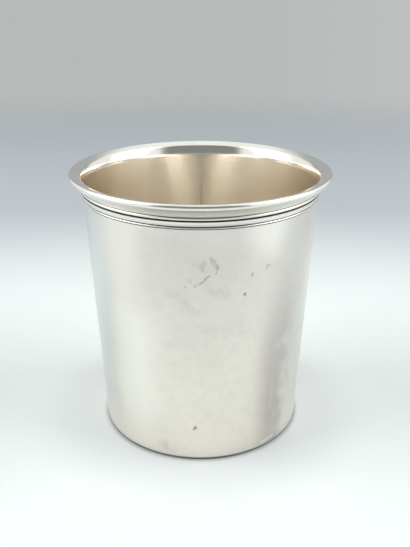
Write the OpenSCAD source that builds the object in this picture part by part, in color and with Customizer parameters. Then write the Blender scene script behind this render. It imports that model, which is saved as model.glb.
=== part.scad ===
// Flared silver drinking cup with an everted lip and a filet moulding under it.
// A rolled wall, a flat base, a lip ring and an applied band are held together by hard solder.
// Z is the axis of the cup, Z = 0 is the table, and the seam of the wall is on the +Y side.

/* [Cup] */
// Height from the table to the top of the lip
cup_h = 80; // [60:1:110]
// Outside diameter of the wall at the foot
foot_d = 61.1; // [50:0.1:75]
// How far the wall spreads outwards between the foot and the lip ring
wall_flare = 3.7; // [2:0.05:8]
// Thickness of the rolled wall
wall_t = 0.45; // [0.35:0.05:0.7]
// Width of the soldered seam that closes the wall
seam_w = 0.2; // [0.1:0.05:0.5]
// Thickness of the solder under the wall, under the lip ring and behind the band
solder_t = 0.1; // [0.05:0.01:0.15]

/* [Base] */
// Thickness of the base
base_t = 0.9; // [0.7:0.05:1.6]
// Radius of the filed lower edge of the base
base_edge_r = 0.65; // [0.2:0.05:0.7]
// Radius of the solder fillet between the base and the wall
base_fillet_r = 0.8; // [0.4:0.1:1.5]

/* [Lip ring] */
// Height of the lip above the open groove
lip_h = 4.95; // [3.5:0.05:8]
// How far the lip reaches out past the top of the wall
lip_out = 3.8; // [3:0.05:6]
// Height of the flare inside the mouth
throat_h = 3.8; // [3:0.1:4]
// Radius of the flare inside the mouth
throat_r = 17.5; // [14:0.5:40]
// Radius of the round between the flare and the top of the lip
mouth_r = 1.6; // [0.8:0.1:1.8]
// Radius of the round outer edge of the lip
edge_r = 0.55; // [0.4:0.05:0.8]
// How far the round edge stands proud of the underside of the lip
edge_step = 0.1; // [0.04:0.01:0.2]
// Radius of the cove under the lip
cove_r = 1.15; // [0.8:0.05:2]
// How far the collar at the foot of the lip stands out of the wall
collar_out = 0.3; // [0.25:0.05:0.5]
// Height of the collar, up to the cove
collar_h = 0.4; // [0.3:0.05:0.8]
// Radius of the bead round the collar
bead_r = 0.38; // [0.25:0.01:0.5]
// How far the bead stands out of the collar
bead_out = 0.22; // [0.1:0.01:0.3]

/* [Filet band] */
// Height of the band
band_h = 1.95; // [1.2:0.05:4]
// Open groove between the band and the lip
band_gap = 0.4; // [0.3:0.05:1]
// How far the band stands out of the neck of the lip ring
band_t = 0.32; // [0.25:0.01:0.6]
// Radius of the reed along the lower edge of the band
reed_r = 0.23; // [0.18:0.01:0.35]
// Width of the fine groove over the reed
reed_gap = 0.18; // [0.1:0.01:0.3]
// Depth of the fine groove over the reed
reed_gap_depth = 0.12; // [0.05:0.01:0.15]

/* [Hidden] */
$fn = 144;
silver = [0.84, 0.84, 0.82];
solder = [0.72, 0.70, 0.66];

// The wall is a plain cone from the solder on the base to the joint with the lip ring.
foot_r = foot_d / 2;
neck_h = band_h + band_gap;
joint = [foot_r + wall_flare, cup_h - lip_h - neck_h];
lean = atan2(wall_flare, joint.y - base_t);
rim_r = joint.x + lip_out;
floor_r = foot_r - wall_t / cos(lean);

// The lip ring and the band have a frame on the joint: Y runs on up the outer face of the wall,
// and X points out of that face. This turns a level offset into that frame.
function leaning(v) = [v.x * cos(lean) - v.y * sin(lean), v.x * sin(lean) + v.y * cos(lean)];

// A straight face or the flare dips this little under the round that it runs into, so that the
// two cross cleanly.
ease = 0.002;

// Level with the top of the band the inner face begins to flare, up to the round at the mouth.
throat_centre = [throat_r - wall_t, band_h];
throat_turn = asin(throat_h / throat_r);
throat_out = [-cos(throat_turn), sin(throat_turn)];
mouth = throat_centre + (throat_r - mouth_r + ease) * throat_out;

// From that round the top of the lip rises to its round edge.
edge = leaning([rim_r - edge_r, cup_h - edge_r] - joint);
to_edge = edge - mouth;
top_tilt = atan2(to_edge.y, to_edge.x) + asin((edge_r - mouth_r) / norm(to_edge));

// Under the lip a straight run goes from the round edge back to the cove.
cove_centre = [collar_out + cove_r, neck_h + collar_h];
cove_to_edge = edge - cove_centre;
cove_in = cove_r - ease;
edge_in = edge_r - edge_step;
run_tilt = 90 - atan2(cove_to_edge.x, cove_to_edge.y) - asin((cove_in + edge_in) / norm(cove_to_edge));

// Sections are drawn with the distance from the axis along X and the height along Y.

// Places a section in the frame on the joint
module on_joint() {
    translate(joint) rotate(-lean) children();
}

// The whole wall, before its seam is cut out of it. Its top is filed square to the sheet,
// and its foot flat to the base under it.
module wall_round() {
    rotate_extrude() intersection() {
        on_joint() translate([-wall_t, -cup_h]) square([wall_t, cup_h]);
        translate([0, base_t + solder_t]) square([rim_r, cup_h]);
    }
}

// A thin upright slab through the seam at the back
module seam_slab() {
    translate([-seam_w / 2, 0, 0]) cube([seam_w, rim_r, cup_h]);
}

module body_wall() {
    color(silver) difference() {
        wall_round();
        seam_slab();
    }
}

module side_seam() {
    color(solder) intersection() {
        wall_round();
        seam_slab();
    }
}

module base_disc() {
    filed_r = min(base_edge_r, base_t);
    color(silver) rotate_extrude() {
        square([foot_r - filed_r, base_t]);
        translate([0, filed_r]) square([foot_r, base_t - filed_r]);
        intersection() {
            translate([foot_r - filed_r, filed_r]) circle(r = filed_r);
            square([foot_r, filed_r]);
        }
    }
}

// The solder under the foot of the wall, with a hollow fillet inside the cup that runs off
// the base and off the leaning face of the wall
module base_solder() {
    under_wall = solder_t * [tan(lean), 1];
    floor_end = [floor_r - base_fillet_r * (1 - sin(lean)) / cos(lean), base_t];
    centre = floor_end + [0, base_fillet_r];
    wall_end = centre + base_fillet_r * [cos(lean), -sin(lean)];
    color(solder) rotate_extrude() difference() {
        polygon([
            floor_end, [foot_r, base_t], [foot_r, base_t] + under_wall,
            [floor_r, base_t] + under_wall, wall_end, centre
        ]);
        translate(centre) circle(r = base_fillet_r);
    }
}

// The lip between its inside, its top and its underside, with the hollow of the cove cut away
module lip_body() {
    inside = -2 * wall_t;
    top_out = [-sin(top_tilt), cos(top_tilt)];
    run_out = [sin(run_tilt), -cos(run_tilt)];
    intersection() {
        translate(throat_centre) circle(r = throat_r);
        difference() {
            polygon([
                [inside, band_h], mouth + (mouth_r + wall_t) * throat_out, mouth,
                mouth + (mouth_r - ease) * top_out, edge + (edge_r - ease) * top_out, edge,
                edge + edge_in * run_out, cove_centre - cove_in * run_out, cove_centre,
                [collar_out, cove_centre.y], [collar_out, neck_h], [0, neck_h], [0, band_h]
            ]);
            translate(cove_centre) circle(r = cove_r);
        }
    }
}

// The round between the inside and the top of the lip
module lip_mouth() {
    intersection() {
        translate(mouth) circle(r = mouth_r);
        translate(mouth - [2 * mouth_r, 0]) square(2 * mouth_r);
    }
}

// The bead sits a little low, so that the underside of the lip cuts it flat.
module lip_bead() {
    bead_y = neck_h + bead_r * 7 / 8;
    intersection() {
        translate([collar_out + bead_out - bead_r, bead_y]) circle(r = bead_r);
        translate([0, neck_h]) square(3 * bead_r);
    }
}

module lip_ring() {
    color(silver) rotate_extrude() on_joint() {
        translate([-wall_t, solder_t]) square([wall_t, band_h - solder_t]);
        lip_body();
        lip_mouth();
        lip_bead();
        translate(edge) circle(r = edge_r);
    }
}

module lip_solder() {
    color(solder) rotate_extrude() on_joint() translate([-wall_t, 0]) square([wall_t, solder_t]);
}

module filet_band() {
    reed_top = 2 * reed_r;
    filet_foot = reed_top + reed_gap;
    color(silver) rotate_extrude() on_joint() {
        translate([solder_t, 0]) square([band_t - reed_gap_depth - solder_t, band_h]);
        translate([solder_t, filet_foot]) square([band_t - solder_t, band_h - filet_foot]);
        intersection() {
            translate([band_t - reed_r, reed_r]) circle(r = reed_r);
            translate([solder_t, 0]) square([band_t, reed_top]);
        }
    }
}

module band_solder() {
    color(solder) rotate_extrude() on_joint() square([solder_t, band_h]);
}

body_wall();
side_seam();
base_disc();
base_solder();
lip_ring();
lip_solder();
filet_band();
band_solder();
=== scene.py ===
# %% [markdown]
# # A silver timbale
# A timbale is a footless silver cup. This one is a rolled and soldered cone on a flat base, with
# a heavy lip that turns outwards and a fine reeded band under the lip. The imported model already
# has the sizes of the cup, so it is loaded first, and every piece made below replaces one of its
# nodes with a finer mesh in the same place. Its box is kept.

# %% Load the imported cup
import math

import bmesh
import bpy
from mathutils import Matrix, Vector


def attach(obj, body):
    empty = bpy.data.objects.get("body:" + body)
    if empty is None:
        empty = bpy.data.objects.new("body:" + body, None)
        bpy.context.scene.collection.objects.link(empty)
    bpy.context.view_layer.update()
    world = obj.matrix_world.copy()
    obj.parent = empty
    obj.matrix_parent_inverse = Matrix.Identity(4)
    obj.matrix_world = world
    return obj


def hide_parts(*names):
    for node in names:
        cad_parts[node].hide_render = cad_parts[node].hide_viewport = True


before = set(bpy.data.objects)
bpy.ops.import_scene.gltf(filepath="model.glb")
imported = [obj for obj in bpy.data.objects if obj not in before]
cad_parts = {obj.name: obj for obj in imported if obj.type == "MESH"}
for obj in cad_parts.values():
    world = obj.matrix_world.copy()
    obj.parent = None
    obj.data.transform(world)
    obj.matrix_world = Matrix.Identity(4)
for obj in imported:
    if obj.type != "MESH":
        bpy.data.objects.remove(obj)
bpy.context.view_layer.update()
scene = bpy.context.scene
print("nodes to dress:", ", ".join(sorted(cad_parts)))

# %% [markdown]
# ## The camera
# The photo looks down on the cup from a hand's height, close by, so its perspective is strong:
# the sides draw together towards the foot more than they do on the cup. A camera at the wrong
# distance can't be put right by scaling, so place, tilt and focal length are given as found from
# the lip, the moulding lines and the foot in the photo.

# %% Camera
PHOTO_HEIGHT_PX = 547
FOCAL_PX = 720
SENSOR_MM = 36
CAMERA_PLACE = (0.001289, -0.205693, 0.131220)
CAMERA_TILT = math.radians(67.645)
camera = bpy.data.objects.new("camera", bpy.data.cameras.new("camera"))
camera.data.sensor_width = SENSOR_MM
camera.data.lens = FOCAL_PX / PHOTO_HEIGHT_PX * SENSOR_MM
camera.data.clip_start = 0.01
camera.location = CAMERA_PLACE
camera.rotation_euler = (CAMERA_TILT, 0, 0)
scene.collection.objects.link(camera)
scene.camera = camera
scene.view_settings.view_transform = "Standard"
print("lens:", round(camera.data.lens, 2), "mm")

# %% [markdown]
# ## A small helper for nodes
# Node trees are quicker to read as nested calls. `add` makes one node, sets its properties and
# either links or sets its inputs, and gives back the node. The other helpers are the few nodes
# that nearly every tree below needs.

# %% Node helpers
def add(tree, kind, inputs=None, **settings):
    made = tree.nodes.new(kind)
    for key, value in settings.items():
        setattr(made, key, value)
    for socket, value in (inputs or {}).items():
        if isinstance(value, bpy.types.NodeSocket):
            tree.links.new(value, made.inputs[socket])
        else:
            made.inputs[socket].default_value = value
    return made


def math_node(tree, operation, first, second=0.0):
    return add(tree, "ShaderNodeMath", {0: first, 1: second}, operation=operation).outputs[0]


def vector_node(tree, operation, first, second=(0, 0, 0), output="Vector"):
    made = add(tree, "ShaderNodeVectorMath", {0: first, 1: second}, operation=operation)
    return made.outputs[output]


def smooth_range(tree, value, low, high, at_low=0.0, at_high=1.0):
    made = add(
        tree, "ShaderNodeMapRange",
        {"Value": value, "From Min": low, "From Max": high, "To Min": at_low, "To Max": at_high},
        interpolation_type="SMOOTHSTEP",
    )
    return made.outputs["Result"]


def mix_colour(tree, share, first, second):
    made = add(tree, "ShaderNodeMix", {"Factor": share, "A": first, "B": second}, data_type="RGBA")
    return made.outputs["Result"]


# %% [markdown]
# ## The table
# Silver shows little of its own colour. It shows the room, so the room is made first. The table
# is white round the cup and in front of it and falls off to grey behind, more quickly than to the
# sides, so the paint follows a stretched distance from a place in front of the cup. Far out the
# table fades into the plain grey of the room. Round the foot it carries a painted shadow, and it is
# clear from below and under the cup, so that the underside of the cup can be looked at too.

# %% Table top
TABLE_R, TABLE_STEPS = 1.5, 96
TABLE_DROP = 0.00003
table_mesh = bmesh.new()
bmesh.ops.create_circle(table_mesh, cap_ends=True, segments=TABLE_STEPS, radius=TABLE_R)
table = bpy.data.objects.new("table", bpy.data.meshes.new("table"))
table_mesh.to_mesh(table.data)
table_mesh.free()
table.location.z = -TABLE_DROP
scene.collection.objects.link(table)
print("table:", 2 * TABLE_R, "m across")

# %% Table paint
WHITE_TABLE = (0.91, 0.955, 0.945, 1)
GREY_TABLE = (0.57, 0.61, 0.645, 1)
CONTACT_SHADOW_GREY = (0.15, 0.155, 0.15, 1)
TO_WHITE_MIDDLE, WHITE_STRETCH = (0, 0.035, 0), (0.75, 1, 1)
WHITE_TO_GREY = (0.11, 0.275)
# Painted shadow on the table round the foot, and a darker painted contact shadow right at its edge.
FOOT_PAINTED_SHADOW = (0.030, 0.058, 0.45)
CONTACT_PAINTED_SHADOW = (0.0306, 0.0322, 0.28)
pale_table = bpy.data.materials.new("pale_table")
pale_table.use_nodes = True
tree = pale_table.node_tree
tree.nodes.clear()
place = add(tree, "ShaderNodeTexCoord").outputs["Object"]
from_middle = vector_node(tree, "ADD", place, TO_WHITE_MIDDLE)
stretched = vector_node(tree, "MULTIPLY", from_middle, WHITE_STRETCH)
from_front = vector_node(tree, "LENGTH", stretched, output="Value")
from_axis = vector_node(tree, "LENGTH", place, output="Value")
greyer = smooth_range(tree, from_front, *WHITE_TO_GREY)
paint = mix_colour(tree, greyer, WHITE_TABLE, GREY_TABLE)
# Paints the shadow round the foot and the contact shadow into the colour of the table.
for (start, end, share), tone in ((FOOT_PAINTED_SHADOW, GREY_TABLE), (CONTACT_PAINTED_SHADOW, CONTACT_SHADOW_GREY)):
    paint = mix_colour(tree, smooth_range(tree, from_axis, start, end, share, 0.0), paint, tone)
matt = add(tree, "ShaderNodeBsdfDiffuse", {"Color": paint})
print("table colours:", WHITE_TABLE[:3], "to", GREY_TABLE[:3])

# %% Clear parts of the table
CLEAR_UNDER_CUP = (0.0290, 0.0294)
FADES_OUT = (0.38, 0.75)
below = add(tree, "ShaderNodeNewGeometry").outputs["Backfacing"]
under_cup = smooth_range(tree, from_axis, *CLEAR_UNDER_CUP, 1.0, 0.0)
hidden = math_node(tree, "MAXIMUM", below, under_cup)
fade = math_node(tree, "MAXIMUM", hidden, smooth_range(tree, from_front, *FADES_OUT))
clear = add(tree, "ShaderNodeBsdfTransparent")
both = add(tree, "ShaderNodeMixShader", {0: fade, 1: matt.outputs[0], 2: clear.outputs[0]})
add(tree, "ShaderNodeOutputMaterial", {"Surface": both.outputs[0]})
table.data.materials.append(pale_table)
print("the table fades out", FADES_OUT[0], "to", FADES_OUT[1], "m from the cup")

# %% [markdown]
# ## Daylight and softboxes
# The cup stands in a light tent: white cloth at both sides and overhead, grey behind, and open
# and dark in front. The camera sees only its plain grey, a little lighter at the right, but the
# silver mirrors all of it, and the dark front is what gives the lip its contrast. An image of a
# room would mirror more detail, but a tent is easier to steer, because each side of it is one
# colour with a soft border. Two softboxes, one at each side, throw the soft shadows that lie left
# and right of the cup.

# %% Light tent
TENT_WHITE = (0.95, 0.96, 0.95, 1)
TENT_BACK = (0.41, 0.43, 0.43, 1)
TENT_FRONT = (0.25, 0.26, 0.255, 1)
SIDE_CLOTH, TOP_CLOTH = (0.50, 0.72), (0.50, 0.70)
FRONT_GAP, GAP_TOP = (0.70, 0.82), (0.95, 0.86)
world = bpy.data.worlds.new("tent")
scene.world = world
world.use_nodes = True
tree = world.node_tree
tree.nodes.clear()
facing = add(tree, "ShaderNodeTexCoord").outputs["Generated"]
way = add(tree, "ShaderNodeSeparateXYZ", {0: facing}).outputs
level = vector_node(tree, "NORMALIZE", vector_node(tree, "MULTIPLY", facing, (1, -1, 0)))
to_front = add(tree, "ShaderNodeSeparateXYZ", {0: level}).outputs["Y"]
sideways = smooth_range(tree, math_node(tree, "ABSOLUTE", way["X"]), *SIDE_CLOTH)
cloth = math_node(tree, "MAXIMUM", sideways, smooth_range(tree, way["Z"], *TOP_CLOTH))
in_gap = smooth_range(tree, to_front, *FRONT_GAP)
opening = math_node(tree, "MULTIPLY", in_gap, smooth_range(tree, way["Z"], *GAP_TOP))
tent = mix_colour(tree, cloth, TENT_BACK, TENT_WHITE)
tent = mix_colour(tree, opening, tent, TENT_FRONT)
print("tent:", TENT_WHITE[:3], "with a front of", TENT_FRONT[:3])

# %% Plain grey for the camera
ROOM_LIGHT = 0.46
DAYLIGHT = (0.93, 0.99, 1.0, 1)
PLAIN_GREY = (0.468, 0.492, 0.487, 1)
PLAIN_RIGHT = (0.515, 0.525, 0.525, 1)
LIGHTER_RIGHT = (0.03, 0.28)
path = add(tree, "ShaderNodeLightPath").outputs
plain = mix_colour(tree, smooth_range(tree, way["X"], *LIGHTER_RIGHT), PLAIN_GREY, PLAIN_RIGHT)
colour = mix_colour(tree, path["Is Camera Ray"], tent, plain)
seen = add(tree, "ShaderNodeBackground", {"Color": colour})
light = add(tree, "ShaderNodeBackground", {"Color": DAYLIGHT, "Strength": ROOM_LIGHT})
mirrored = math_node(tree, "MAXIMUM", path["Is Glossy Ray"], path["Is Transmission Ray"])
looked_at = math_node(tree, "MAXIMUM", path["Is Camera Ray"], mirrored)
both = add(tree, "ShaderNodeMixShader", {0: looked_at, 1: light.outputs[0], 2: seen.outputs[0]})
add(tree, "ShaderNodeOutputWorld", {"Surface": both.outputs[0]})
print("room light:", ROOM_LIGHT)

# %% Softboxes
SOFTBOX_SIZE = (0.50, 0.60)
SOFTBOX_WATTS = 3.05
SOFTBOX_COLOUR = (1.0, 0.985, 0.98)
SOFTBOX_ASIDE, SOFTBOX_Y, SOFTBOX_HEIGHT = 0.57, -0.07, 0.39
for side in (-1, 1):
    lamp = bpy.data.lights.new("softbox", "AREA")
    lamp.shape = "RECTANGLE"
    lamp.size, lamp.size_y = SOFTBOX_SIZE
    lamp.energy = SOFTBOX_WATTS
    lamp.color = SOFTBOX_COLOUR
    softbox = bpy.data.objects.new("softbox", lamp)
    softbox.location = (side * SOFTBOX_ASIDE, SOFTBOX_Y, SOFTBOX_HEIGHT)
    softbox.rotation_euler = softbox.location.to_track_quat("Z", "Y").to_euler()
    scene.collection.objects.link(softbox)
print("softboxes: 2 of", SOFTBOX_WATTS, "W")

# %% [markdown]
# ## Room for many mirrorings
# Inside the cup, light goes from wall to wall many times before it comes out, and each time it
# loses a little blue. That is why the inside of clean silver looks tan. A few more bounces than
# usual let that happen by itself, so the inside needs little brown of its own.

# %% Bounces
scene.cycles.max_bounces = 16
scene.cycles.glossy_bounces = 14
print("glossy bounces:", scene.cycles.glossy_bounces)

# %% [markdown]
# ## The sizes of the cup
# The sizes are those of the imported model, in millimetres. Only the flare, the mouth, the edge and
# the bead of the lip and the hollow of the filet are drawn a little otherwise, as the reflections
# in the photo show them. The wall is a plain cone. Everything above it is drawn in a frame that
# leans with the wall: its origin is the outer corner of the wall's top, Y runs on up the wall's
# face and X points out of it.

# %% Sizes of the body
MM = 0.001
CUP_H = 80.0
FOOT_R = 30.55
WALL_FLARE = 3.7
WALL_T = 0.45
SEAM_W = 0.2
SOLDER_T = 0.1
BASE_T = 0.9
BASE_EDGE_R = 0.65
BASE_FILLET_R = 0.8
print("cup:", CUP_H, "mm tall and", 2 * FOOT_R, "mm across the foot")

# %% Sizes of the lip and the band
LIP_H, LIP_OUT = 4.95, 3.8
THROAT_FOOT, THROAT_H, THROAT_R = 2.95, 3.1, 9.0
MOUTH_R = 1.1
EDGE_R, EDGE_STEP = 0.8, 0.1
COVE_R = 1.15
COLLAR_OUT, COLLAR_H = 0.3, 0.4
BEAD_R, BEAD_OUT = 0.46, 0.24
BAND_H, BAND_GAP, BAND_T = 1.95, 0.4, 0.32
REED_R, REED_GAP, REED_GAP_DEPTH = 0.23, 0.18, 0.12
FILET_HOLLOW = 0.04
print("lip:", LIP_H, "mm high, band:", BAND_H, "mm high")

# %% Frame on the top of the wall
NECK_H = BAND_H + BAND_GAP
JOINT = Vector((FOOT_R + WALL_FLARE, CUP_H - LIP_H - NECK_H))
LEAN = math.atan2(WALL_FLARE, JOINT.y - BASE_T)
LEAN_COS, LEAN_SIN = math.cos(LEAN), math.sin(LEAN)


def wall_radius(z):
    return FOOT_R + (z - BASE_T) * math.tan(LEAN)


def from_joint(x, y):
    return JOINT + Vector((x * LEAN_COS + y * LEAN_SIN, y * LEAN_COS - x * LEAN_SIN))


print("the wall leans out by", round(math.degrees(LEAN), 2), "degrees")

# %% [markdown]
# ## Turning a section, as on a lathe
# Nearly every piece is a ring, so one small set of tools draws them all. A pen draws half a
# section in the XZ plane: `line_to` extrudes its last point, and `arc_about` spins that point
# round a centre, clockwise where the angle is positive. `turn` then spins the closed section
# round the axis. A lathe curve and a Screw modifier would do the same, but bmesh leaves a plain
# mesh whose faces can still be chosen, cut and dented.

# %% Pen
def start_at(bm, x, z):
    return bmesh.ops.create_vert(bm, co=(x, 0, z))["vert"][0]


def line_to(bm, pen, x, z):
    tip = bmesh.ops.extrude_vert_indiv(bm, verts=[pen])["verts"][0]
    tip.co = (x, 0, z)
    return tip


def lines_to(bm, pen, *points):
    for x, z in points:
        pen = line_to(bm, pen, x, z)
    return pen


def arc_about(bm, pen, x, z, degrees, steps):
    swept = bmesh.ops.spin(
        bm, geom=[pen], cent=(x, 0, z), axis=(0, 1, 0), angle=math.radians(degrees), steps=steps
    )
    return [v for v in swept["geom_last"] if isinstance(v, bmesh.types.BMVert)][0]


# %% Lathe
TURNS = 288
SAME_POINT = 1e-5


def lean_on_wall(bm):
    leaned = Matrix.Rotation(LEAN, 3, "Y")
    bmesh.ops.rotate(bm, cent=(0, 0, 0), matrix=leaned, verts=bm.verts)
    bmesh.ops.translate(bm, vec=(JOINT.x, 0, JOINT.y), verts=bm.verts)


def turn(bm):
    bmesh.ops.remove_doubles(bm, verts=bm.verts, dist=SAME_POINT)
    bmesh.ops.spin(
        bm, geom=bm.verts[:] + bm.edges[:], cent=(0, 0, 0), axis=(0, 0, 1),
        angle=2 * math.pi, steps=TURNS, use_merge=True,
    )
    bmesh.ops.remove_doubles(bm, verts=bm.verts, dist=SAME_POINT)
    bmesh.ops.recalc_face_normals(bm, faces=bm.faces)


print("each ring has", TURNS, "steps round")

# %% Off the lathe
SHARP_ANGLE = math.radians(32)


def keep(bm, name, node, slot, *finishes):
    bmesh.ops.scale(bm, vec=(MM, MM, MM), verts=bm.verts)
    mesh = bpy.data.meshes.new(name)
    bm.to_mesh(mesh)
    bm.free()
    mesh.shade_smooth()
    mesh.set_sharp_from_angle(angle=SHARP_ANGLE)
    for finish in finishes:
        mesh.materials.append(finish.material)
    piece = bpy.data.objects.new(name, mesh)
    scene.collection.objects.link(piece)
    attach(piece, "root")
    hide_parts(node)
    print(name, "replaces", node, "with", len(mesh.polygons), "faces")


# %% [markdown]
# ## Where a point is on the cup
# Wear follows the cup, not the room. This group unrolls the wall: its sheet has the distance round
# the cup from the front as X and the height as Y. The height and the distance from the axis are
# also given alone, for the grooves, and a plan from above is given for the base. The sheet is cut
# open at the back, where the real one is taken to have its seam, and a fade hides that its two
# ends don't match. A UV map could hold the same, but every piece would need its own.

# %% Group helpers
def new_group(name, inputs, outputs):
    tree = bpy.data.node_groups.new(name, "ShaderNodeTree")
    for socket, (kind, value) in inputs.items():
        made = tree.interface.new_socket(socket, in_out="INPUT", socket_type="NodeSocket" + kind)
        made.default_value = value
    for socket, kind in outputs.items():
        tree.interface.new_socket(socket, in_out="OUTPUT", socket_type="NodeSocket" + kind)
    given, out = tree.nodes.new("NodeGroupInput"), tree.nodes.new("NodeGroupOutput")
    return tree, given.outputs, out.inputs


def use_group(tree, group, inputs=None):
    return add(tree, "ShaderNodeGroup", inputs, node_tree=group).outputs


# %% Unrolled sheet
FADE_FROM_CUT = (0.3, 2.5)
unrolled, _, out = new_group("unrolled_sheet", {}, {
    "Sheet": "Vector", "Height": "Float", "Radius": "Float", "Flat": "Vector", "Fade": "Float",
})
place = add(unrolled, "ShaderNodeTexCoord").outputs["Object"]
in_mm = vector_node(unrolled, "MULTIPLY", place, (1 / MM, 1 / MM, 1 / MM))
at = add(unrolled, "ShaderNodeSeparateXYZ", {0: in_mm}).outputs
to_viewer = math_node(unrolled, "MULTIPLY", at["Y"], -1.0)
angle = math_node(unrolled, "ARCTAN2", at["X"], to_viewer)
round_mm = math_node(unrolled, "MULTIPLY", angle, JOINT.x)
either_way = math_node(unrolled, "ABSOLUTE", round_mm)
from_cut = math_node(unrolled, "SUBTRACT", math.pi * JOINT.x, either_way)
sheet = add(unrolled, "ShaderNodeCombineXYZ", {"X": round_mm, "Y": at["Z"]}).outputs[0]
flat = vector_node(unrolled, "MULTIPLY", in_mm, (1, 1, 0))
unrolled.links.new(sheet, out["Sheet"])
unrolled.links.new(at["Z"], out["Height"])
unrolled.links.new(vector_node(unrolled, "LENGTH", flat, output="Value"), out["Radius"])
unrolled.links.new(flat, out["Flat"])
unrolled.links.new(smooth_range(unrolled, from_cut, *FADE_FROM_CUT), out["Fade"])
print("the unrolled sheet is", round(2 * math.pi * JOINT.x), "mm long")

# %% [markdown]
# ## Hairline scratches
# Silver is soft, and years of drying cloths leave hairlines in every direction. They are far too
# many to draw one by one. Stretched noise gives streaks, and a narrow band of its values gives
# thin lines with loose ends. Three copies, each turned another way, hide the pattern.

# %% Hairlines
ORIGIN = ("Vector", (0, 0, 0))
HAIRLINE_LAYERS = ((12, 0.09, 3.0), (63, 0.13, 17.0), (118, 0.11, 29.0))
HAIRLINE_FREQUENCY = 5.0
HAIRLINE_LEVEL, HAIRLINE_BAND = 0.62, 0.02


def noise_node(tree, vector, scale, detail):
    inputs = {"Vector": vector, "Scale": scale, "Detail": detail}
    return add(tree, "ShaderNodeTexNoise", inputs).outputs


hairlines, given, out = new_group("hairlines", {"Sheet": ORIGIN}, {"Lines": "Float"})
lines = None
for degrees, stretch, seed in HAIRLINE_LAYERS:
    rotation, shift = (0, 0, math.radians(degrees)), (seed, seed, seed)
    turned = add(hairlines, "ShaderNodeMapping", {
        "Vector": given["Sheet"], "Rotation": rotation, "Location": shift,
    }).outputs[0]
    streak = vector_node(hairlines, "MULTIPLY", turned, (stretch, HAIRLINE_FREQUENCY, 1.0))
    grain = noise_node(hairlines, streak, 1.0, 1.0)["Fac"]
    off = math_node(hairlines, "ABSOLUTE", math_node(hairlines, "SUBTRACT", grain, HAIRLINE_LEVEL))
    line = smooth_range(hairlines, off, 0.0, HAIRLINE_BAND, 1.0, 0.0)
    lines = line if lines is None else math_node(hairlines, "MAXIMUM", lines, line)
hairlines.links.new(lines, out["Lines"])
print("hairline layers:", len(HAIRLINE_LAYERS))

# %% [markdown]
# ## Bloom, strokes and dark lines
# Three masks make most of the wear and of the painted light and shade. A bloom lies over the sheet
# in soft clouds. A stroke is anything drawn from one point to another with a soft edge, from a band
# of painted reflection down to a pit, whose two ends are the same point. A dark line follows a
# groove or a step: tarnish where no cloth can reach, and painted shade under the band and under the
# round edge. Painted textures could carry all of it, but masks stay sharp at any distance.

# %% Bloom
bloom, given, out = new_group(
    "bloom", {"Sheet": ORIGIN, "Cloud": ("Float", 0.06), "Seed": ("Float", 0.0)}, {"Mask": "Float"}
)
shifted = vector_node(bloom, "ADD", given["Sheet"], given["Seed"])
cloud = noise_node(bloom, shifted, given["Cloud"], 3.0)["Fac"]
bloom.links.new(smooth_range(bloom, cloud, 0.3, 0.7), out["Mask"])
print("wear mask:", bloom.name)

# %% Stroke
def scaled(tree, vector, scale):
    made = add(tree, "ShaderNodeVectorMath", {0: vector, "Scale": scale}, operation="SCALE")
    return made.outputs["Vector"]


stroke, given, out = new_group(
    "stroke",
    {
        "Sheet": ORIGIN, "From": ORIGIN, "To": ORIGIN,
        "Reach": ("Float", 1.0), "Feather": ("Float", 1.0),
        "Ragged": ("Float", 0.0), "Grain": ("Float", 1.0),
    },
    {"Mask": "Float"},
)
noise = noise_node(stroke, given["Sheet"], given["Grain"], 2.0)
drift = vector_node(stroke, "SUBTRACT", noise["Color"], (0.5, 0.5, 0.5))
drifted = vector_node(stroke, "ADD", given["Sheet"], scaled(stroke, drift, given["Ragged"]))
wavy = vector_node(stroke, "MULTIPLY", drifted, (1, 1, 0))
walk = vector_node(stroke, "SUBTRACT", given["To"], given["From"])
away = vector_node(stroke, "SUBTRACT", wavy, given["From"])
covered = vector_node(stroke, "DOT_PRODUCT", away, walk, "Value")
whole = vector_node(stroke, "DOT_PRODUCT", walk, walk, "Value")
share = math_node(stroke, "DIVIDE", covered, whole)
share = add(stroke, "ShaderNodeClamp", {"Value": share}).outputs[0]
distance = vector_node(stroke, "DISTANCE", away, scaled(stroke, walk, share), "Value")
uneven = math_node(stroke, "SUBTRACT", noise["Fac"], 0.5)
uneven = math_node(stroke, "MULTIPLY", uneven, given["Ragged"])
distance = math_node(stroke, "ADD", distance, uneven)
end = math_node(stroke, "ADD", given["Reach"], given["Feather"])
stroke.links.new(smooth_range(stroke, distance, given["Reach"], end, 1.0, 0.0), out["Mask"])
print("wear mask:", stroke.name)

# %% Dark line
dark_line, given, out = new_group(
    "dark_line",
    {
        "Value": ("Float", 0.0), "Centre": ("Float", 0.0),
        "Reach": ("Float", 0.1), "Feather": ("Float", 0.1),
    },
    {"Mask": "Float"},
)
off = math_node(dark_line, "SUBTRACT", given["Value"], given["Centre"])
off = math_node(dark_line, "ABSOLUTE", off)
end = math_node(dark_line, "ADD", given["Reach"], given["Feather"])
dark_line.links.new(smooth_range(dark_line, off, given["Reach"], end, 1.0, 0.0), out["Mask"])
print("wear mask:", dark_line.name)

# %% [markdown]
# ## The silver
# All the silver shares one recipe: a metal whose colour goes from clean to dull with the bloom,
# and whose hairlines are a little rougher than the rest and stand in the bump, together with the
# small nicks of an edge that is often set down. `lay` then puts one more tone over it through a
# mask, for tarnish and stains, and for painted reflection and painted shade. A material for each
# piece by hand would repeat all this.

# %% Silver recipe
BLOOM_ROUGH, HAIRLINE_ROUGH = 0.05, 0.06
NICK_FREQUENCY, NICK_RANGE = 1.6, (0.58, 0.75)
BUMP_DEPTH = 0.01 * MM


def on_sheet(degrees, height):
    return (math.radians(degrees) * JOINT.x, height, 0)


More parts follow.
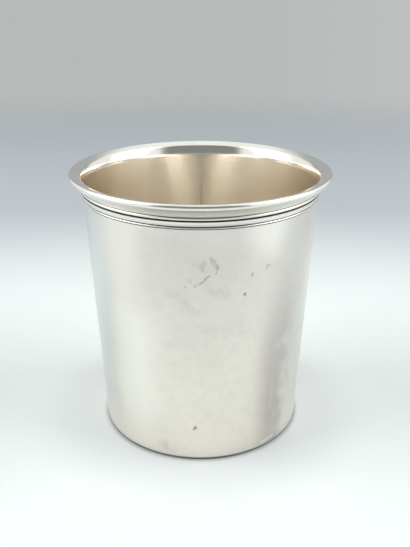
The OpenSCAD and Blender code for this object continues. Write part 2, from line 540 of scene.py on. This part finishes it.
class Finish:
    def __init__(
        self, name, clean, dull, satin, seed, cloud=0.05, scratch=0.2, nicks=0.0, flat=False
    ):
        self.material = bpy.data.materials.new(name)
        self.material.use_nodes = True
        self.tree = self.material.node_tree
        self.metal = self.tree.nodes["Principled BSDF"]
        self.metal.inputs["Metallic"].default_value = 1.0
        self.where = use_group(self.tree, unrolled)
        self.sheet = self.where["Flat" if flat else "Sheet"]
        clouds = {"Sheet": self.sheet, "Cloud": cloud, "Seed": seed}
        mask = use_group(self.tree, bloom, clouds)["Mask"]
        line = use_group(self.tree, hairlines, {"Sheet": self.sheet})["Lines"]
        if not flat:
            mask = self.times(mask, self.where["Fade"])
            line = self.times(line, self.where["Fade"])
        self.colour = mix_colour(self.tree, mask, clean, dull)
        self.rough = math_node(self.tree, "ADD", satin, self.times(mask, BLOOM_ROUGH))
        self.rough = math_node(self.tree, "ADD", self.rough, self.times(line, HAIRLINE_ROUGH))
        self.raise_lines(line, scratch, nicks)
        self.join()

    def raise_lines(self, line, scratch, nicks):
        small = noise_node(self.tree, self.sheet, NICK_FREQUENCY, 2.0)["Fac"]
        worn = self.times(smooth_range(self.tree, small, *NICK_RANGE), nicks)
        height = math_node(self.tree, "ADD", line, self.times(worn, self.where["Fade"]))
        bump = add(self.tree, "ShaderNodeBump", {
            "Height": height, "Strength": scratch, "Distance": BUMP_DEPTH,
        })
        self.tree.links.new(bump.outputs[0], self.metal.inputs["Normal"])

    def join(self):
        self.tree.links.new(self.colour, self.metal.inputs["Base Color"])
        self.tree.links.new(self.rough, self.metal.inputs["Roughness"])

    def times(self, mask, share):
        return math_node(self.tree, "MULTIPLY", mask, share)

    def lay(self, mask, tone, share=1.0, rougher=0.0):
        mask = self.times(mask, share)
        self.colour = mix_colour(self.tree, mask, self.colour, tone)
        self.rough = math_node(self.tree, "ADD", self.rough, self.times(mask, rougher))
        self.join()

    def polish(self, mask, smoother):
        self.rough = math_node(self.tree, "SUBTRACT", self.rough, self.times(mask, smoother))
        self.join()

    def by_height(self, low, high, at_low=0.0, at_high=1.0):
        return smooth_range(self.tree, self.where["Height"], low, high, at_low, at_high)

    def drawn(self, start, end, reach, feather, ragged=0.0, grain=1.0):
        return use_group(self.tree, stroke, {
            "Sheet": self.sheet, "From": on_sheet(*start), "To": on_sheet(*end),
            "Reach": reach, "Feather": feather, "Ragged": ragged, "Grain": grain,
        })["Mask"]

    def mottled(self, stretch, low, high):
        spread = vector_node(self.tree, "MULTIPLY", self.sheet, stretch)
        grain = noise_node(self.tree, spread, 1.0, 4.0)["Fac"]
        return self.times(smooth_range(self.tree, grain, low, high), self.where["Fade"])

    def at_line(self, along, centre, reach, feather):
        return use_group(self.tree, dark_line, {
            "Value": self.where[along], "Centre": centre, "Reach": reach, "Feather": feather,
        })["Mask"]

    def in_groove(self, point, reach, feather):
        high = self.at_line("Height", point.y, reach, feather)
        return self.times(high, self.at_line("Radius", point.x, reach, feather))


print("a stroke at 10 degrees lies", round(on_sheet(10, 0)[0], 2), "mm round the sheet")

# %% [markdown]
# ## The outside of the wall
# The outside is satin from handling. Upright bands of painted reflection lie on it, lighter, duller
# and cooler, the upper front is greyer than the foot, and to the right a purplish grey run goes
# down the wall and deepens towards the foot. Every band is a stroke on the unrolled sheet, so it
# can be
# moved by a degree or a millimetre: each has two ends, a reach, a feather, a share and a tone.

# %% Outside of the wall
CLEAN_WALL, DULL_WALL = (0.828, 0.777, 0.698, 1), (0.788, 0.743, 0.662, 1)
GREYER_WALL = (0.745, 0.702, 0.658, 1)
# Tones for clean wiped metal and painted sheen, for duller metal and dim painted reflection, and
# for cool painted reflection.
SHEEN_AND_WIPED = (0.955, 0.93, 0.87, 1)
DULL_AND_DIM_REFLECTION = (0.665, 0.655, 0.64, 1)
COOL_REFLECTION = (0.745, 0.785, 0.77, 1)
UPPER_WALL = (15.0, 62.0)
wall_outside = Finish("wall_outside", CLEAN_WALL, DULL_WALL, satin=0.28, seed=0.0, cloud=0.045)
wall_outside.lay(wall_outside.by_height(*UPPER_WALL), GREYER_WALL, 0.75)
MOTTLES = (
    ((0.35, 0.35, 1), 0.4, 0.75, DULL_AND_DIM_REFLECTION, 0.34, 0.03),
    ((1.1, 1.3, 1), 0.5, 0.72, DULL_AND_DIM_REFLECTION, 0.16, 0.02),
    ((0.04, 2.6, 1), 0.5, 0.75, DULL_AND_DIM_REFLECTION, 0.16, 0.02),
    ((0.9, 0.12, 1), 0.52, 0.75, SHEEN_AND_WIPED, 0.06, 0.0),
)
for stretch, low, high, tone, share, rougher in MOTTLES:
    wall_outside.lay(wall_outside.mottled(stretch, low, high), tone, share, rougher)
print("wall tone:", CLEAN_WALL[:3], "to", GREYER_WALL[:3])

# %% Bands on the wall
BAND_RAGGED, BAND_GRAIN = 3.0, 0.08
# Painted reflections: lighter, duller and cooler upright bands painted into the colour of the wall.
PAINTED_REFLECTION_BANDS = (
    ((-40, 0), (-38, 42), 2.5, 12.0, 0.75, SHEEN_AND_WIPED),
    ((-42, 56), (-40, 74), 1.5, 10.0, 0.45, SHEEN_AND_WIPED),
    ((33, 71), (36, 77), 2.0, 9.0, 0.75, SHEEN_AND_WIPED),
    ((6, 72), (20, 77), 1.0, 10.0, 0.35, SHEEN_AND_WIPED),
    ((-28, 74), (2, 74), 0.5, 6.0, 0.3, SHEEN_AND_WIPED),
    ((72, 40), (72, 74), 0.5, 7.0, 0.3, SHEEN_AND_WIPED),
    ((-60, 0), (-57, 60), 1.5, 9.0, 0.2, DULL_AND_DIM_REFLECTION),
    ((52, 30), (51, 74), 1.5, 9.0, 0.5, DULL_AND_DIM_REFLECTION),
    ((-65, 0), (-61, 74), 1.0, 10.0, 0.75, COOL_REFLECTION),
    ((64, 0), (64, 40), 1.0, 9.0, 0.6, COOL_REFLECTION),
)
for start, end, reach, feather, share, tone in PAINTED_REFLECTION_BANDS:
    mask = wall_outside.drawn(start, end, reach, feather, BAND_RAGGED, BAND_GRAIN)
    wall_outside.lay(mask, tone, share)
print("bands on the wall:", len(PAINTED_REFLECTION_BANDS))

# %% Foot and purplish run
WARM_FOOT = (0.93, 0.85, 0.765, 1)
NEAR_FOOT = (16.0, 4.0)
# A purplish grey run down the wall at the right, deeper towards the foot and thinner right at it.
PURPLISH_GREY = (0.55, 0.505, 0.49, 1)
DEEPENS, THINNER_AT_FOOT = (66.0, 20.0, 0.1, 0.93), (2.0, 14.0, 0.7, 1.0)
PURPLISH_RUNS = (
    ((47, 58), (40, 30), 0.5, 9.0, 9.0, 0.16),
    ((40, 30), (43, 0), 0.3, 9.0, 6.0, 0.16),
)
# A lighter line inside the purplish run, and a painted highlight low on the foot at the right.
LIGHT_LINE_AND_FOOT_HIGHLIGHT = (
    (((41, 13), (41.5, 21), 0.0, 0.8, 1.4, 0.6), 0.16),
    (((37, 1.7), (45, 2.4), 0.1, 0.9, 0.9, 0.5), 0.65),
)
wall_outside.lay(wall_outside.by_height(*NEAR_FOOT), WARM_FOOT, 0.55, 0.03)
upper_run, lower_run = [wall_outside.drawn(*run) for run in PURPLISH_RUNS]
run_down = math_node(wall_outside.tree, "MAXIMUM", upper_run, lower_run)
deepens = wall_outside.by_height(*DEEPENS)
thinner_low = wall_outside.by_height(*THINNER_AT_FOOT)
depth_of_tone = wall_outside.times(deepens, thinner_low)
wall_outside.lay(wall_outside.times(run_down, depth_of_tone), PURPLISH_GREY, 1.0, 0.04)
for light_stroke, share in LIGHT_LINE_AND_FOOT_HIGHLIGHT:
    wall_outside.lay(wall_outside.drawn(*light_stroke), SHEEN_AND_WIPED, share)
print("tarnish:", PURPLISH_GREY[:3], "in", len(PURPLISH_RUNS), "runs down the wall")

# %% [markdown]
# ## Knocks and stains on the wall
# A few knocks, scrapes and stains of a used cup, each where the photo has it: degrees round from
# the front, and millimetres up from the table. Stains are tones only: two ends, a reach, a
# feather and a share. Knocks, with a size and a depth, are listed apart, because they are also
# pressed into the metal when the wall is made.

# %% Stains
STAIN = (0.30, 0.28, 0.25, 1)
STAINS = (
    ((-2.6, 56.7), (0.3, 57.5), 0.0, 0.5, 0.3),
    ((0.3, 57.5), (2.0, 58.4), 0.0, 0.38, 0.6),
    ((2.0, 58.6), (4.2, 59.7), 0.0, 0.42, 0.65),
    ((-4.8, 58.9), (-4.2, 57.8), 0.0, 0.4, 0.32),
    ((4.9, 64.6), (7.4, 62.0), 0.0, 0.9, 0.26),
    ((6.0, 64.3), (7.9, 61.7), 0.0, 0.42, 0.4),
    ((7.9, 61.7), (7.2, 60.1), 0.0, 0.45, 0.45),
    ((4.7, 64.9), (5.1, 63.0), 0.0, 0.4, 0.28),
    ((0.8, 62.0), (1.3, 62.8), 0.0, 1.7, 0.24),
    ((-3.0, 62.6), (-1.6, 63.4), 0.0, 0.7, 0.12),
    ((31.6, 60.7), (33.6, 60.8), 0.0, 0.38, 0.55),
    ((31.7, 60.7), (31.6, 59.7), 0.0, 0.35, 0.4),
    ((24.2, 59.3), (24.3, 58.4), 0.0, 0.35, 0.45),
    ((5.0, 54.8), (12.0, 54.2), 0.0, 2.0, 0.12),
    ((3.0, 43.0), (20.0, 44.5), 0.0, 2.6, 0.09),
    ((-14.0, 54.9), (-1.9, 49.3), 0.0, 2.6, 0.12),
    ((-20.4, 4.1), (-18.0, 3.0), 0.0, 2.4, 0.16),
    ((17.0, 41.5), (19.5, 42.5), 0.0, 2.8, 0.08),
    ((-14.5, 38.6), (-12.0, 40.0), 0.0, 2.8, 0.07),
    ((-3.7, 10.6), (-2.4, 11.9), 0.05, 0.4, 0.7),
    ((-2.6, 10.9), (-2.2, 11.2), 0.05, 0.35, 0.5),
)
for start, end, reach, feather, share in STAINS:
    mask = wall_outside.drawn(start, end, reach, feather, 2.0 * feather, 0.8 / feather)
    wall_outside.lay(mask, STAIN, share, 0.05)
print("stains:", len(STAINS))

# %% Knocks
KNOCKS = (
    ((20.9, 53.5), 0.6, 0.14), ((24.2, 58.8), 0.36, 0.08), ((32.9, 60.0), 0.3, 0.05),
    ((-6.7, 56.4), 0.34, 0.07), ((-2.9, 11.3), 0.62, 0.14), ((-23.6, 4.4), 0.3, 0.06),
    ((-7.4, 3.9), 0.4, 0.05), ((17.5, 38.9), 0.25, 0.05), ((-58.7, 61.8), 0.25, 0.05),
    ((9.8, 22.0), 0.3, 0.05), ((-20.7, 51.7), 0.3, 0.04),
)
DARK_PER_MM, DARKEST = 7, 0.9
for spot, size, depth in KNOCKS:
    mask = wall_outside.drawn(spot, spot, 0.35 * size, 0.65 * size, 0.3 * size, 2.5)
    wall_outside.lay(mask, STAIN, min(DARKEST, DARK_PER_MM * depth), 0.08)
print("knocks:", len(KNOCKS))

# %% [markdown]
# ## The inside, the lip and the band
# The inside is smooth but hard to reach, so it is a little dull low down and bright at the mouth.
# The lip is kept bright by use, and its underside is duller. Black tarnish stays in the open groove
# under the bead, over the bead and in the fine groove of the band. Right under the band the dark
# line is tarnish and painted shade, and under the round edge it is painted shade. Those places are
# given in the frame that leans with the wall, so the tarnish and the painted shade follow the
# shapes and not the picture.

# %% Inside of the wall
CLEAN_INSIDE, DULL_INSIDE = (0.90, 0.87, 0.817, 1), (0.885, 0.85, 0.79, 1)
TAN = (0.80, 0.755, 0.68, 1)
TAN_SIDES, TAN_FOOT, TAN_TOP = (-88, 88), 30, 74
TO_MOUTH = (73.5, 78.0)
wall_inside = Finish("wall_inside", CLEAN_INSIDE, DULL_INSIDE, satin=0.17, seed=40.0, scratch=0.03)
for degrees in TAN_SIDES:
    mask = wall_inside.drawn((degrees, TAN_FOOT), (degrees, TAN_TOP), 4.0, 24.0)
    wall_inside.lay(mask, TAN, 0.7)
wall_inside.polish(wall_inside.by_height(*TO_MOUTH), 0.08)
print("inside tone:", CLEAN_INSIDE[:3], "to", TAN[:3], "at both sides")

# %% Lip
BRIGHT_LIP, WORN_LIP = (0.93, 0.92, 0.88, 1), (0.90, 0.885, 0.84, 1)
CLEAN_UNDER, DULL_UNDER = (0.86, 0.845, 0.795, 1), (0.83, 0.81, 0.755, 1)
# Black of the tarnish in the grooves, also used for the painted shade under the band and under the
# edge.
TARNISH_AND_SHADE_BLACK = (0.035, 0.033, 0.03, 1)
OPEN_GROOVE = (from_joint(0, BAND_H + BAND_GAP / 2), 0.27, 0.10)
OVER_BEAD = (from_joint(0.40, 3.20), 0.09, 0.09)
# Painted shade in the crease under the round edge.
PAINTED_SHADE_UNDER_EDGE = (from_joint(2.90, 5.84), 0.05, 0.12)
LIP_GROOVES = ((OPEN_GROOVE, 1.0), (OVER_BEAD, 0.9), (PAINTED_SHADE_UNDER_EDGE, 0.3))
lip_silver = Finish(
    "lip_silver", BRIGHT_LIP, WORN_LIP, satin=0.11, seed=80.0, cloud=0.1, scratch=0.1, nicks=3.0
)
lip_under = Finish(
    "lip_under", CLEAN_UNDER, DULL_UNDER, satin=0.31, seed=90.0, cloud=0.1, scratch=0.08
)
for finish in (lip_silver, lip_under):
    for groove, share in LIP_GROOVES:
        finish.lay(finish.in_groove(*groove), TARNISH_AND_SHADE_BLACK, share)
print("open groove at", round(OPEN_GROOVE[0].y, 2), "mm")

# %% Band
CLEAN_BAND, DULL_BAND = (0.89, 0.865, 0.82, 1), (0.84, 0.79, 0.74, 1)
FINE_GROOVE = (from_joint(BAND_T - REED_GAP_DEPTH, 2 * REED_R + 0.7 * REED_GAP), 0.13, 0.05)
# Tarnish and painted shade along the lower edge of the reed and on the wall right under the band.
TARNISH_AND_SHADE_UNDER_REED, TARNISH_AND_SHADE_BELOW_BAND = (JOINT.y, 0.08, 0.06), (JOINT.y, 0.22, 0.08)
band_silver = Finish("band_silver", CLEAN_BAND, DULL_BAND, satin=0.21, seed=120.0, scratch=0.08)
band_silver.lay(band_silver.in_groove(*FINE_GROOVE), TARNISH_AND_SHADE_BLACK)
band_silver.lay(band_silver.at_line("Height", *TARNISH_AND_SHADE_UNDER_REED), TARNISH_AND_SHADE_BLACK)
band_silver.lay(band_silver.in_groove(*OPEN_GROOVE), TARNISH_AND_SHADE_BLACK)
wall_outside.lay(wall_outside.at_line("Height", *TARNISH_AND_SHADE_BELOW_BAND), TARNISH_AND_SHADE_BLACK, 0.9)
print("fine groove at", round(FINE_GROOVE[0].y, 2), "mm")

# %% [markdown]
# ## The base and the solder
# The base is slid over tables, so its marks are straight scratches, and it reads flat coordinates
# in place of the unrolled sheet. Its filed edge carries a painted shade where it meets the table.
# Hard solder is a poorer alloy, greyer and rougher than the sheet. The seam is taken to be rubbed
# down with the wall, so it is a little smoother.

# %% Base
CLEAN_BASE, DULL_BASE = (0.86, 0.85, 0.80, 1), (0.78, 0.765, 0.71, 1)
# Painted shade on the lower part of the filed edge, for the dark line where it meets the table.
PAINTED_EDGE_SHADE = (0.14, 0.14, 0.125, 1)
EDGE_SHADE_HEIGHT, EDGE_SHADE_RADIUS = (0.92, 0.62), (FOOT_R - 0.75, FOOT_R - 0.5)
base_silver = Finish("base_silver", CLEAN_BASE, DULL_BASE, satin=0.26, seed=160.0, flat=True)
outer = smooth_range(base_silver.tree, base_silver.where["Radius"], *EDGE_SHADE_RADIUS)
on_edge = base_silver.times(base_silver.by_height(*EDGE_SHADE_HEIGHT), outer)
base_silver.lay(on_edge, PAINTED_EDGE_SHADE, 0.85, 0.1)
print("base tone:", CLEAN_BASE[:3], "to", DULL_BASE[:3])

# %% Solder
CLEAN_SOLDER, DULL_SOLDER = (0.80, 0.79, 0.74, 1), (0.70, 0.67, 0.60, 1)
CLEAN_SEAM, DULL_SEAM = (0.77, 0.75, 0.69, 1), (0.72, 0.70, 0.64, 1)
solder_grey = Finish("solder_grey", CLEAN_SOLDER, DULL_SOLDER, satin=0.32, seed=200.0)
seam_silver = Finish("seam_silver", CLEAN_SEAM, DULL_SEAM, satin=0.30, seed=240.0)
print("finishes:", ", ".join(m.name for m in bpy.data.materials if m.use_nodes))

# %% [markdown]
# ## The wall and its seam
# The wall is one sheet, rolled into a cone and closed at the back by a run of solder. The lathe
# makes the whole cone, with rows close enough together to be dented, and two cuts with a plane
# take the seam out. A Boolean would cut it too, but it leaves uneven faces along the cut. The
# seam itself is a narrow slice of the same section, turned at the back and trimmed by the same
# two planes.

# %% Section of the wall
OUTSIDE_ROWS, INSIDE_ROWS = 96, 36


def draw_wall(bm):
    foot_z = BASE_T + SOLDER_T
    top_in = JOINT + WALL_T * Vector((-LEAN_COS, LEAN_SIN))
    foot_out = wall_radius(foot_z)
    foot_in = foot_out - WALL_T / LEAN_COS
    pen = start_at(bm, foot_out, foot_z)
    lines_to(bm, pen, JOINT, top_in, (foot_in, foot_z), (foot_out, foot_z))
    bm.edges.ensure_lookup_table()
    for edge, rows in ((bm.edges[0], OUTSIDE_ROWS), (bm.edges[2], INSIDE_ROWS)):
        bmesh.ops.subdivide_edges(bm, edges=[edge], cuts=rows - 1)


print("rows of the wall:", OUTSIDE_ROWS, "outside,", INSIDE_ROWS, "inside")

# %% Seam cuts
SEAM_SIDES = (-1, 1)
ON_PLANE = 1e-6


def trim(bm, side, **away):
    back = [f for f in bm.faces if all(v.co.y > 0 for v in f.verts)]
    around = {e for f in back for e in f.edges} | {v for f in back for v in f.verts}
    bmesh.ops.bisect_plane(
        bm, geom=back + list(around), dist=ON_PLANE,
        plane_co=(side * SEAM_W / 2, 0, 0), plane_no=(side, 0, 0), **away,
    )


def in_seam(face):
    middle = face.calc_center_median()
    return middle.y > 0 and abs(middle.x) < SEAM_W / 2


# %% Closed cuts and two finishes
def close_cuts(bm):
    bmesh.ops.holes_fill(bm, edges=[e for e in bm.edges if e.is_boundary], sides=0)
    bmesh.ops.recalc_face_normals(bm, faces=bm.faces)


def outward(face):
    return face.normal.xy.dot(face.calc_center_median().xy) > 0


def finish_inside_apart(bm):
    for face in bm.faces:
        face.material_index = 0 if outward(face) else 1


# %% [markdown]
# ## Pressing in the knocks
# A knock is a small hollow with a soft rim. Bump in the shader would only tilt the reflections, so
# the few faces round it are cut finer, and their corners are pushed towards the axis, deepest in
# the middle.

# %% Knock helper
KNOCK_SPREAD, KNOCK_MARGIN, FINER_CUTS = 1.5, 0.7, 3


def press(bm, degrees, height, size, depth):
    angle = math.radians(degrees)
    spread = KNOCK_SPREAD * size
    spot = wall_radius(height) * Vector((math.sin(angle), -math.cos(angle), 0))
    spot.z = height
    near = [
        f for f in bm.faces
        if outward(f) and (f.calc_center_median() - spot).length < spread + KNOCK_MARGIN
    ]
    edges = list({e for f in near for e in f.edges})
    bmesh.ops.subdivide_edges(bm, edges=edges, cuts=FINER_CUTS, use_grid_fill=True)
    for vert in bm.verts:
        away = (vert.co - spot).length / spread
        if away < 1:
            push = depth * (1 - away * away) ** 2
            vert.co -= Vector((vert.co.x, vert.co.y, 0)).normalized() * push


# %% Make the wall
bm = bmesh.new()
draw_wall(bm)
turn(bm)
for side in SEAM_SIDES:
    trim(bm, side)
bmesh.ops.delete(bm, geom=[f for f in bm.faces if in_seam(f)], context="FACES")
close_cuts(bm)
for (degrees, height), size, depth in KNOCKS:
    press(bm, degrees, height, size, depth)
bm.normal_update()
finish_inside_apart(bm)
keep(bm, "wall_sheet", "body_wall", "silver", wall_outside, wall_inside)

# %% Make the seam
SLICE_START, SLICE_SWEEP, SLICE_STEPS = math.radians(89), math.radians(2), 4
bm = bmesh.new()
draw_wall(bm)
to_back = Matrix.Rotation(SLICE_START, 3, "Z")
bmesh.ops.rotate(bm, cent=(0, 0, 0), matrix=to_back, verts=bm.verts)
bmesh.ops.spin(
    bm, geom=bm.verts[:] + bm.edges[:], cent=(0, 0, 0), axis=(0, 0, 1),
    angle=SLICE_SWEEP, steps=SLICE_STEPS,
)
for side in SEAM_SIDES:
    trim(bm, side, clear_outer=True)
close_cuts(bm)
finish_inside_apart(bm)
keep(bm, "wall_seam", "side_seam", "solder", seam_silver, wall_inside)

# %% [markdown]
# ## The base and its fillet
# The base is a flat disc. The wall stands on it, and its lower edge is filed round and carries a
# painted shade, which together make the dark line along the foot. A bevelled cylinder would do as
# well, but with the pen it is drawn like all the other rings. Inside, solder fills the corner in a
# hollow fillet that runs off the base and off the wall.

# %% Base plate
BASE_EDGE_STEPS = 8
bm = bmesh.new()
pen = start_at(bm, 0, 0)
pen = line_to(bm, pen, FOOT_R - BASE_EDGE_R, 0)
pen = arc_about(bm, pen, FOOT_R - BASE_EDGE_R, BASE_EDGE_R, -90, BASE_EDGE_STEPS)
lines_to(bm, pen, (FOOT_R, BASE_T), (0, BASE_T))
turn(bm)
keep(bm, "base_plate", "base_disc", "silver", base_silver)

# %% Fillet of solder
FILLET_STEPS = 10
floor_r = FOOT_R - WALL_T / LEAN_COS
rise = SOLDER_T * Vector((math.tan(LEAN), 1))
fillet_x = floor_r - BASE_FILLET_R * (1 - LEAN_SIN) / LEAN_COS
wall_end = (fillet_x + BASE_FILLET_R * LEAN_COS, BASE_T + BASE_FILLET_R * (1 - LEAN_SIN))
bm = bmesh.new()
pen = start_at(bm, fillet_x, BASE_T)
pen = lines_to(
    bm, pen, (FOOT_R, BASE_T), (FOOT_R + rise.x, BASE_T + rise.y),
    (floor_r + rise.x, BASE_T + rise.y), wall_end,
)
arc_about(bm, pen, fillet_x, BASE_T + BASE_FILLET_R, 90 - math.degrees(LEAN), FILLET_STEPS)
turn(bm)
keep(bm, "base_fillet", "base_solder", "solder", solder_grey)

# %% [markdown]
# ## The lip ring
# The lip is the one heavy piece, a moulding turned from thick metal. From the neck, which carries
# on the wall, the inside flares a little and then rolls over in a round. The top rises from
# there to a round edge. Under it a straight run goes back to a cove and a bead. Rounding a rough
# ring with bevels would blur these members into each other, so the section is drawn from the
# inside of the neck, up the outside and back down the inside, and the places where its arcs meet
# are found first.

# %% Inside and top of the lip
def leaning(x, z):
    return Vector((x * LEAN_COS - z * LEAN_SIN, x * LEAN_SIN + z * LEAN_COS))


throat_centre = Vector((THROAT_R - WALL_T, THROAT_FOOT))
throat_turn = math.asin(THROAT_H / THROAT_R)
throat_out = Vector((-math.cos(throat_turn), math.sin(throat_turn)))
mouth = throat_centre + (THROAT_R - MOUTH_R) * throat_out
edge = leaning(LIP_OUT - EDGE_R, CUP_H - EDGE_R - JOINT.y)
to_edge = edge - mouth
top_tilt = math.atan2(to_edge.y, to_edge.x) + math.asin((EDGE_R - MOUTH_R) / to_edge.length)
top_end = mouth + MOUTH_R * Vector((-math.sin(top_tilt), math.cos(top_tilt)))
print("top of the lip at", round(math.degrees(top_tilt - LEAN), 1), "degrees from level")

# %% Underside of the lip
cove = Vector((COLLAR_OUT + COVE_R, NECK_H + COLLAR_H))
edge_in = EDGE_R - EDGE_STEP
cove_to_edge = edge - cove
run_len = math.sqrt(cove_to_edge.length_squared - (COVE_R + edge_in) ** 2)
bend = math.atan2(cove_to_edge.x, cove_to_edge.y) + math.atan2(COVE_R + edge_in, run_len)
along = Vector((math.sin(bend), math.cos(bend)))
step_in = math.acos(edge_in / EDGE_R)
run = run_len - EDGE_R * math.sin(step_in)
print("underside of the lip at", round(math.degrees(bend + LEAN), 1), "degrees from upright")

# %% Bead of the lip
bead = Vector((COLLAR_OUT + BEAD_OUT - BEAD_R, NECK_H + BEAD_R * 7 / 8))
bead_foot = math.sqrt(BEAD_R ** 2 - (bead.y - NECK_H) ** 2)
apart = cove - bead
to_valley = (apart.length_squared + BEAD_R ** 2 - COVE_R ** 2) / (2 * apart.length)
valley_side = math.sqrt(BEAD_R ** 2 - to_valley ** 2)
apart.normalize()
valley = bead + to_valley * apart + valley_side * apart.orthogonal()
bead_from = math.degrees(math.atan2(NECK_H - bead.y, bead_foot))
bead_to = math.degrees(math.atan2(valley.y - bead.y, valley.x - bead.x))
valley_at = math.degrees(math.atan2(valley.y - cove.y, cove.x - valley.x))
print("the bead turns through", round(bead_to - bead_from), "degrees")

# %% Lip ring
BEAD_STEPS, COVE_STEPS, EDGE_STEPS, MOUTH_STEPS, THROAT_STEPS = 12, 8, 20, 16, 14
bm = bmesh.new()
pen = start_at(bm, -WALL_T, SOLDER_T)
pen = lines_to(bm, pen, (0, SOLDER_T), (0, NECK_H), (bead.x + bead_foot, NECK_H))
pen = arc_about(bm, pen, *bead, bead_from - bead_to, BEAD_STEPS)
pen = arc_about(bm, pen, *cove, math.degrees(bend) - valley_at, COVE_STEPS)
pen = line_to(bm, pen, pen.co.x + run * along.x, pen.co.z + run * along.y)
pen = arc_about(bm, pen, *edge, -90 - math.degrees(top_tilt + bend + step_in), EDGE_STEPS)
pen = line_to(bm, pen, *top_end)
pen = arc_about(bm, pen, *mouth, math.degrees(top_tilt + throat_turn) - 90, MOUTH_STEPS)
pen = arc_about(bm, pen, *throat_centre, -math.degrees(throat_turn), THROAT_STEPS)
line_to(bm, pen, -WALL_T, SOLDER_T)
lean_on_wall(bm)
turn(bm)
print("the section of the lip makes", len(bm.faces), "faces")

# %% Finishes of the lip
FACES_IN, FACES_DOWN = 0.7, -0.2
bead_top = from_joint(*valley).y
for face in bm.faces:
    middle = face.calc_center_median()
    inwards = -face.normal.xy.dot(middle.xy.normalized())
    under = face.normal.z < FACES_DOWN or middle.z < bead_top
    face.material_index = 1 if inwards > FACES_IN else 2 if under else 0
keep(bm, "lip_moulding", "lip_ring", "silver", lip_silver, wall_inside, lip_under)

# %% [markdown]
# ## The band and the films of solder
# The band is one strip with two members: a fine reed along its lower edge and a filet over it,
# parted by a groove. The filet is very slightly hollow, so that its lower half mirrors the dark
# front of the tent and its upper half the bright table. The band stands on a film of solder, and
# so does the lip ring on the wall. The films hardly show, but the joints are real, so they are
# turned too. Their inner faces have the finish of the inside, because the film of the lip lies
# flush with the inside of the cup.

# %% Reeded band
REED_STEPS, FILET_STEPS = 10, 8
reed_x = BAND_T - REED_R
groove_x = BAND_T - REED_GAP_DEPTH
filet_foot = 2 * REED_R + REED_GAP
filet_middle = (filet_foot + BAND_H) / 2
half_filet = (BAND_H - filet_foot) / 2
hollow_r = (half_filet ** 2 + FILET_HOLLOW ** 2) / (2 * FILET_HOLLOW)
hollow_x = BAND_T + hollow_r - FILET_HOLLOW
hollow_turn = math.degrees(math.asin(half_filet / hollow_r))
low = math.acos((SOLDER_T - reed_x) / REED_R)
high = math.acos((groove_x - reed_x) / REED_R)
reed_foot = (SOLDER_T, REED_R - REED_R * math.sin(low))
bm = bmesh.new()
pen = start_at(bm, *reed_foot)
pen = arc_about(bm, pen, reed_x, REED_R, -math.degrees(low + high), REED_STEPS)
pen = lines_to(bm, pen, (groove_x, filet_foot), (BAND_T, filet_foot))
pen = arc_about(bm, pen, hollow_x, filet_middle, 2 * hollow_turn, FILET_STEPS)
lines_to(bm, pen, (SOLDER_T, BAND_H), reed_foot)
lean_on_wall(bm)
turn(bm)
keep(bm, "reeded_band", "filet_band", "silver", band_silver)

# %% Films of solder
for name, node, corners in (
    ("band_film", "band_solder", ((0, 0), (SOLDER_T, 0), (SOLDER_T, BAND_H), (0, BAND_H))),
    ("lip_film", "lip_solder", ((-WALL_T, 0), (0, 0), (0, SOLDER_T), (-WALL_T, SOLDER_T))),
):
    bm = bmesh.new()
    pen = start_at(bm, *corners[0])
    lines_to(bm, pen, *corners[1:], corners[0])
    lean_on_wall(bm)
    turn(bm)
    finish_inside_apart(bm)
    keep(bm, name, node, "solder", solder_grey, wall_inside)
